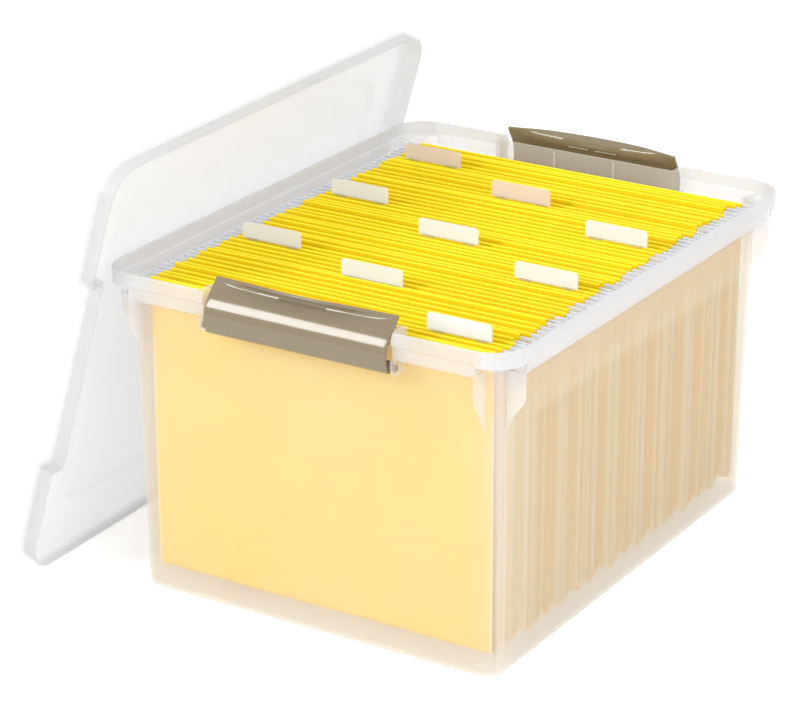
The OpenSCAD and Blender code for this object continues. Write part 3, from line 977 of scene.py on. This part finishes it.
def folder_section():
    """The paper's closed outline in Y and Z: a flap, over a rod, down, round the fold, up and over
    the other rod."""
    r_out, r_in = SLEEVE_T / 2, SLEEVE_T / 2 - PAPER_T
    fold_r = (FOLD_GAP + SLEEVE_T) / 2
    top, fold_z = FOLDER_TOP - r_out, FOLDER_LOW + fold_r
    mid = FOLD_GAP / 2
    outer = [(r_out, SLEEVE_LOW)] + arc(0, top, r_out, 0, 180, 8)
    outer += arc(mid, fold_z, fold_r, 180, 360, 14)
    outer += arc(FOLD_GAP, top, r_out, 0, 180, 8) + [(FOLD_GAP - r_out, SLEEVE_LOW)]
    inner = [(FOLD_GAP - r_in, SLEEVE_LOW)] + arc(FOLD_GAP, top, r_in, 180, 0, 8)
    inner += arc(mid, fold_z, fold_r - PAPER_T, 360, 180, 14)
    inner += arc(0, top, r_in, 180, 0, 8) + [(r_in, SLEEVE_LOW)]
    return outer + inner


def edge_shift(k, flap, size, clump):
    """How far an edge is off its even place: in steps shared by a clump of edges, and a little by
    itself."""
    n = 2 * k + flap
    return size * (0.7 * math.sin(2.4 * (n // clump)) + 0.3 * math.sin(1.7 * n))


def row_shift(k, flap, share):
    """How far a folder's top edge is off its even place along Y, at a share of its half length.
    Folders with tabs are only skewed."""
    skew = ROW_SKEW * share * math.sin(4.3 * (2 * k + flap))
    return skew if k in TAB_AT else skew + edge_shift(k + 40, flap, ROW_SHIFT, 3)


def top_rise(k, flap, share):
    """How far a folder's loose top edge stands above its rod's own place."""
    if k in TAB_AT:
        return 0.0
    n = 2 * k + flap
    varied = LOOSE_RISE_VARIES * math.sin(5.1 * n)
    return LOOSE_RISE + varied + LOOSE_TILT * share * math.sin(2.9 * n)


def folder_sheet(k, section):
    """One folder's paper, swaying and rippled, with its edges off their even places."""
    stations = 16
    rings = []
    for i in range(stations + 1):
        share = 2 * i / stations - 1
        ring = []
        for y, z in section:
            flap = 1 if y > FOLD_GAP / 2 else 0
            hang = max(0.0, SLEEVE_LOW - z)
            free = min(1.0, hang / FREE_BELOW)
            lean = row_shift(k, flap, share) * max(0.0, 1 - hang / STRAIGHT_BELOW)
            x = share * (FOLDER_HALF + edge_shift(k, flap, EDGE_SHIFT, 2))
            rise = top_rise(k, flap, share) if z > FOLDER_TOP - SLEEVE_T else 0.0
            sway = SWAY * free * noise.noise(Vector((x / 90, 3.7 * k, z / 70)))
            waves = noise.noise(Vector((x / 25, 5.1 * k + 9 * flap, 1.5)))
            ripple = RIPPLE * (1 - free) * waves
            ring.append((folder_x(k) + x, folder_y(k) + y + sway + lean + ripple, z + rise))
        rings.append(ring)
    return loft(rings)


def hook_outline(longer):
    """A rod in X and Z with a notch over each rail and rounded hook ends."""
    play, notch_r, foot_r, r = 1.5, 1, 0.6, 1.2
    notch_in, notch_out = RAIL_IN - play, RAIL_IN + RAIL_T + play
    top, tip = RAIL_TOP + SEAT_GAP - notch_r, HOOK_X + longer
    right = [(notch_in, ROD_LOW), (notch_in, top)]
    right += arc(notch_in + notch_r, top, notch_r, 180, 90, 4)
    right += arc(notch_out - notch_r, top, notch_r, 90, 0, 4)
    right += arc(notch_out + foot_r, HOOK_LOW + foot_r, foot_r, 180, 270, 4)
    right += arc(tip - r, HOOK_LOW + r, r, 270, 360, 5)
    right += arc(tip - 2 * r, ROD_TOP - 2 * r, 2 * r, 0, 90, 6)
    return right + [(-x, z) for x, z in reversed(right)]


def rod_pair(k):
    """The two flat rods that folder k hangs from."""
    parts = []
    for flap, y in enumerate((0, FOLD_GAP)):
        def place(p, d, flap=flap, y=y):
            lean = row_shift(k, flap, p[0] / FOLDER_HALF)
            return folder_x(k) + p[0], folder_y(k) + y + lean + d, p[1]

        outline = hook_outline(edge_shift(k, flap, HOOK_SHIFT, 5))
        parts.append(prism(outline, place, -ROD_T / 2, ROD_T / 2))
    return joined(*parts)


def tab_outline(half, low, high, r):
    """A tab's face in X and Z, its upper corners rounded."""
    right = arc(half - r, high - r, r, 0, 90, 6)
    return [(-half, low), (half, low)] + right + arc(-half + r, high - r, r, 90, 180, 6)


def rectangle(x0, x1, z0, z1):
    return [(x0, z0), (x1, z0), (x1, z1), (x0, z1)]


def tab_parts(s):
    """The clear sleeve and the card inside it, for section s."""
    leaf, slot, sunk = 0.5, 1, 0.1
    tongue_half, tongue_h, tongue_sunk = 5, 7, 0.2
    face_r, band_in, card_r, card_in = 3.2, 3, 3, 0.5
    depth, half = 2 * leaf + slot, TAB_W / 2
    x0 = TAB_X[s % 3] + folder_x(TAB_AT[s])
    y0 = folder_y(TAB_AT[s]) - SLEEVE_T / 2 - SEAT_GAP - depth
    z0 = FOLDER_TOP + SEAT_GAP

    def place(p, d):
        return x0 + p[0], y0 + d, z0 + p[1]

    face = tab_outline(half, 0, TAB_H, face_r)
    band = rectangle(-half + band_in, half - band_in, TAB_H - leaf, TAB_H)
    foot = rectangle(-half, half, 0, leaf)
    parts = [prism(face, place, 0, leaf), prism(face, place, depth - leaf, depth)]
    parts += [prism(strip, place, leaf - sunk, depth - leaf + sunk) for strip in (band, foot)]
    for x in (-TAB_W / 3, TAB_W / 3):
        tongue = rectangle(x - tongue_half, x + tongue_half, -tongue_h, tongue_sunk)
        parts.append(prism(tongue, place, depth - leaf, depth))
    card = tab_outline(half - card_in, leaf + sunk, TAB_H - leaf - sunk, card_r)
    return joined(*parts), prism(card, place, leaf + 0.3, leaf + 0.7)


def make_folders():
    section = folder_section()
    for s in range(len(TAB_AT)):
        n, body = s + 1, f"section_{s + 1}"
        row = range(FIRST[s], FIRST[s + 1])
        sheets = joined(*(folder_sheet(k, section) for k in row))
        rods = joined(*(rod_pair(k) for k in row))
        sleeve, card = tab_parts(s)
        card_paper = LABEL_WARM if s in WARM_LABELS else LABEL_WHITE
        for name, part, material, slot, node, bevel in (
            ("folder_sheets", sheets, FOLDER_PAPER, "folder_paper", "folders", 0.0),
            ("folder_rods", rods, ROD_COATING, "rod_metal", "rods", 0.2),
            ("tab_sleeve", sleeve, TAB_PLASTIC, "tab_plastic", "tab", 0.12),
            ("tab_card", card, card_paper, "label_paper", "label", 0.0),
        ):
            piece(f"{name}_{n}", part, material, body, slot, [f"{node}_{n}"], bevel=bevel)


# Studio


def white_to_eye(tree):
    """1 for rays that the eye, a reflection or glass sends, which all see a pale background."""
    path = tree.nodes.new("ShaderNodeLightPath")
    seen = most(tree, path.outputs["Is Camera Ray"], path.outputs["Is Glossy Ray"])
    return most(tree, seen, path.outputs["Is Transmission Ray"])


def make_world():
    """Even light all round, and a white background for the eye."""
    world = bpy.data.worlds.new("studio")
    world.use_nodes = True
    bpy.context.scene.world = world
    tree = world.node_tree
    lit = tree.nodes["Background"]
    lit.inputs["Color"].default_value = (1.0, 1.0, 1.0, 1)
    lit.inputs["Strength"].default_value = WORLD_LIGHT
    seen = tree.nodes.new("ShaderNodeBackground")
    seen.inputs["Strength"].default_value = 1.0
    eye = tree.nodes.new("ShaderNodeLightPath").outputs["Is Camera Ray"]
    tree.links.new(mixed(tree, eye, REFLECTED_WHITE, SEEN_WHITE), seen.inputs["Color"])
    mix = tree.nodes.new("ShaderNodeMixShader")
    tree.links.new(white_to_eye(tree), mix.inputs["Fac"])
    tree.links.new(lit.outputs["Background"], mix.inputs[1])
    tree.links.new(seen.outputs["Background"], mix.inputs[2])
    tree.links.new(mix.outputs["Shader"], tree.nodes["World Output"].inputs["Surface"])


def make_floor():
    """Matt white paper that keeps the object's shadow and glows a little for the eye alone."""
    mat, tree, bsdf = shader("floor_paper")
    cloud = spread(tree, grain(tree, *FLOOR_CLOUD))
    tree.links.new(mixed(tree, cloud, *FLOOR_TONES), bsdf.inputs["Base Color"])
    bsdf.inputs["Roughness"].default_value = FLOOR_ROUGHNESS
    bsdf.inputs["Specular IOR Level"].default_value = 0.0
    glow = tree.nodes.new("ShaderNodeEmission")
    glow.inputs["Color"].default_value = FLOOR_GLOW
    tree.links.new(white_to_eye(tree), glow.inputs["Strength"])
    add = tree.nodes.new("ShaderNodeAddShader")
    tree.links.new(bsdf.outputs["BSDF"], add.inputs[0])
    tree.links.new(glow.outputs["Emission"], add.inputs[1])
    tree.links.new(add.outputs["Shader"], tree.nodes["Material Output"].inputs["Surface"])
    bpy.ops.mesh.primitive_plane_add(size=FLOOR_SIZE, location=(0, 0, 0))
    floor = bpy.context.object
    floor.name = "floor"
    floor.data.materials.append(mat)


def make_lights():
    for name, place, width, height, power, glossy in LAMPS:
        data = bpy.data.lights.new(name, "AREA")
        data.shape = "RECTANGLE"
        data.size, data.size_y = width, height
        data.energy = power
        lamp = bpy.data.objects.new(name, data)
        bpy.context.scene.collection.objects.link(lamp)
        lamp.location = place
        lamp.visible_glossy = glossy
        towards = Vector(LAMP_AIM) - Vector(place)
        lamp.rotation_euler = towards.to_track_quat("-Z", "Y").to_euler()


def make_camera():
    data = bpy.data.cameras.new("camera")
    data.lens = CAMERA_LENS
    data.clip_end = CAMERA_CLIP
    camera = bpy.data.objects.new("camera", data)
    bpy.context.scene.collection.objects.link(camera)
    camera.location = CAMERA_PLACE
    camera.rotation_euler = (math.pi / 2 - CAMERA_ELEVATION, 0, CAMERA_AZIMUTH)
    bpy.context.scene.camera = camera


make_camera()
make_tub()
make_latches()
make_lid()
make_folders()
make_world()
make_floor()
make_lights()
bpy.context.scene.view_settings.view_transform = "Standard"
